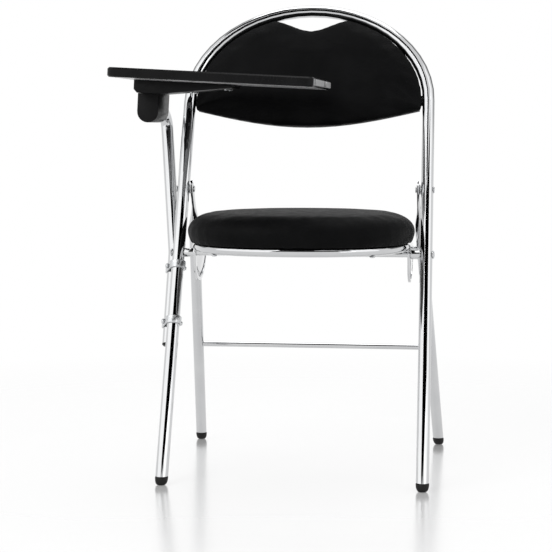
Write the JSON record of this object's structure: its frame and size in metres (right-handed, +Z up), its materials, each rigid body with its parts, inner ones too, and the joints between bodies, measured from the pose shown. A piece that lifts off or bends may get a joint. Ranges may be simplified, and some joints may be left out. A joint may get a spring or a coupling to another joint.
{
  "type": "folding visitor chair",
  "caption": "Folding chair of chrome tube with an oval padded seat, a padded back in the frame's arch and a lift-up writing tablet on a side post.",
  "frame": {"origin": "on the floor, in the middle of the whole chair's bounding box, tablet included", "axes": "+Z up; the chair faces -Y; +X to the right as seen from the front, so the tablet is on the -X side, at the sitter's right hand"},
  "size_m": [0.5376, 0.5172, 0.825],
  "materials": {
    "chrome": "bright plated steel tube",
    "zinc_steel": "plain zinc on fasteners",
    "black_upholstery": "satin imitation leather over foam",
    "black_plastic": "matt moulded",
    "black_rubber": "matt moulded",
    "black_laminate": "fine pebbled laminate",
    "plywood": "black-stained ply, hidden under the cushion"
  },
  "bodies": {
    "front_frame": {"front_frame": "chrome", "seat_axle": "chrome", "back_pad": "black_upholstery", "back_board": "black_plastic", "tablet_post": "chrome", "post_cap": "black_plastic", "foot_front_left": "black_rubber", "leg_rivet_left": "zinc_steel", "leg_washer_left": "zinc_steel", "seat_bush_left": "chrome", "axle_nut_left": "zinc_steel", "back_lug_lower_left": "chrome", "back_screw_lower_left": "zinc_steel", "back_lug_upper_left": "chrome", "back_screw_upper_left": "zinc_steel", "foot_front_right": "black_rubber", "leg_rivet_right": "zinc_steel", "leg_washer_right": "zinc_steel", "seat_bush_right": "chrome", "axle_nut_right": "zinc_steel", "back_lug_lower_right": "chrome", "back_screw_lower_right": "zinc_steel", "back_lug_upper_right": "chrome", "back_screw_upper_right": "zinc_steel", "clamp_lower": "chrome", "clamp_bolt_lower": "zinc_steel", "clamp_upper": "chrome", "clamp_bolt_upper": "zinc_steel"},
    "rear_legs": {"rear_leg_left": "chrome", "rear_leg_right": "chrome", "rear_stretcher": "chrome", "foot_rear_left": "black_rubber", "foot_rear_right": "black_rubber", "slot_pin_left": "zinc_steel", "slot_pin_right": "zinc_steel"},
    "seat": {"seat_ring": "chrome", "seat_plate_left": "chrome", "seat_plate_right": "chrome", "seat_pan": "plywood", "seat_cushion": "black_upholstery", "seat_screw_1": "zinc_steel", "seat_screw_2": "zinc_steel", "seat_screw_3": "zinc_steel", "seat_screw_4": "zinc_steel"},
    "tablet": {"tablet_board": "black_laminate", "tablet_arm": "black_plastic", "hinge_housing": "black_plastic", "tablet_screw_1": "zinc_steel", "tablet_screw_2": "zinc_steel", "tablet_screw_3": "zinc_steel", "tablet_screw_4": "zinc_steel"}
  },
  "joints": [
    {"name": "rear_fold", "type": "hinge", "parent": "front_frame", "child": "rear_legs", "pos_m": [0.02916, -0.00263, 0.495], "axis": [-1, 0, 0], "range_deg": [0, 35]},
    {"name": "seat_fold", "type": "hinge", "parent": "front_frame", "child": "seat", "pos_m": [0.02916, -0.04638, 0.3845], "axis": [1, 0, 0], "range_deg": [0, 63]},
    {"name": "tablet_lift", "type": "hinge", "parent": "front_frame", "child": "tablet", "pos_m": [-0.23184, -0.05111, 0.631], "axis": [0, -1, 0], "range_deg": [0, 95]}
  ],
  "couplings": [
    {"joint": "seat_fold", "follows": "rear_fold", "ratio": 1.8}
  ]
}
